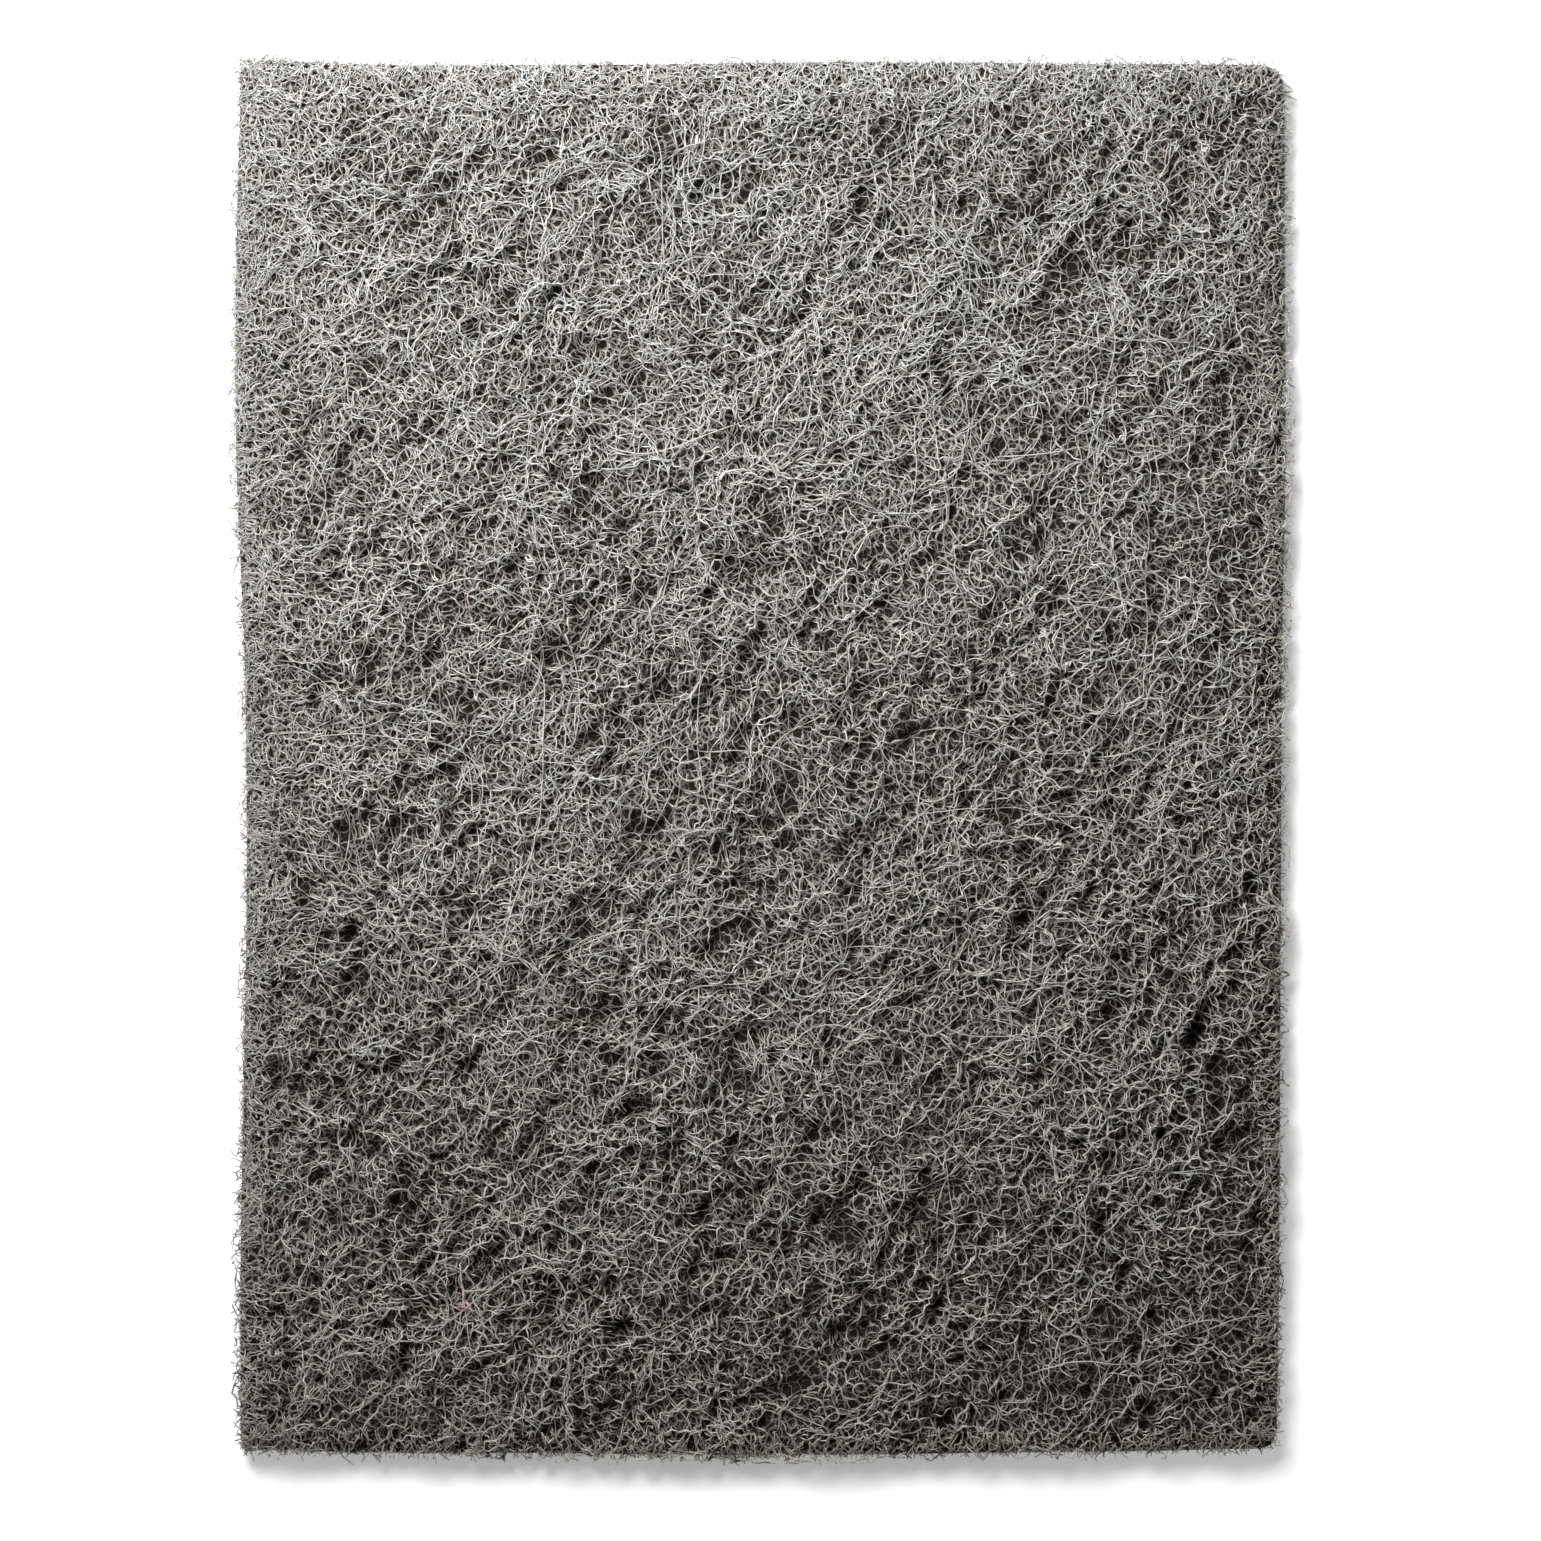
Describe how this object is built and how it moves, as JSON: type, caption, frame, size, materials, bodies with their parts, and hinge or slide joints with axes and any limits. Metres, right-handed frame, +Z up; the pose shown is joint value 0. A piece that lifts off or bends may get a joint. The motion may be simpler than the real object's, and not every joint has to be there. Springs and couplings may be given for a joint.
{
  "type": "abrasive fleece pad",
  "caption": "Flat rectangular hand pad of open grey abrasive fleece, with a lumpy fibrous face and soft rolled edges, for scuffing and cleaning surfaces.",
  "frame": {"origin": "centre of the underside, on the surface that the pad lies on", "axes": "+X across the pad, +Y along its length, +Z up from the underside to the top face"},
  "size_m": [0.116, 0.154, 0.0075],
  "materials": {
    "fleece": "matte warm grey non-woven fibres, bonded with resin and fine abrasive grain"
  },
  "bodies": {
    "root": {"fleece_pad": "fleece"}
  },
  "joints": []
}
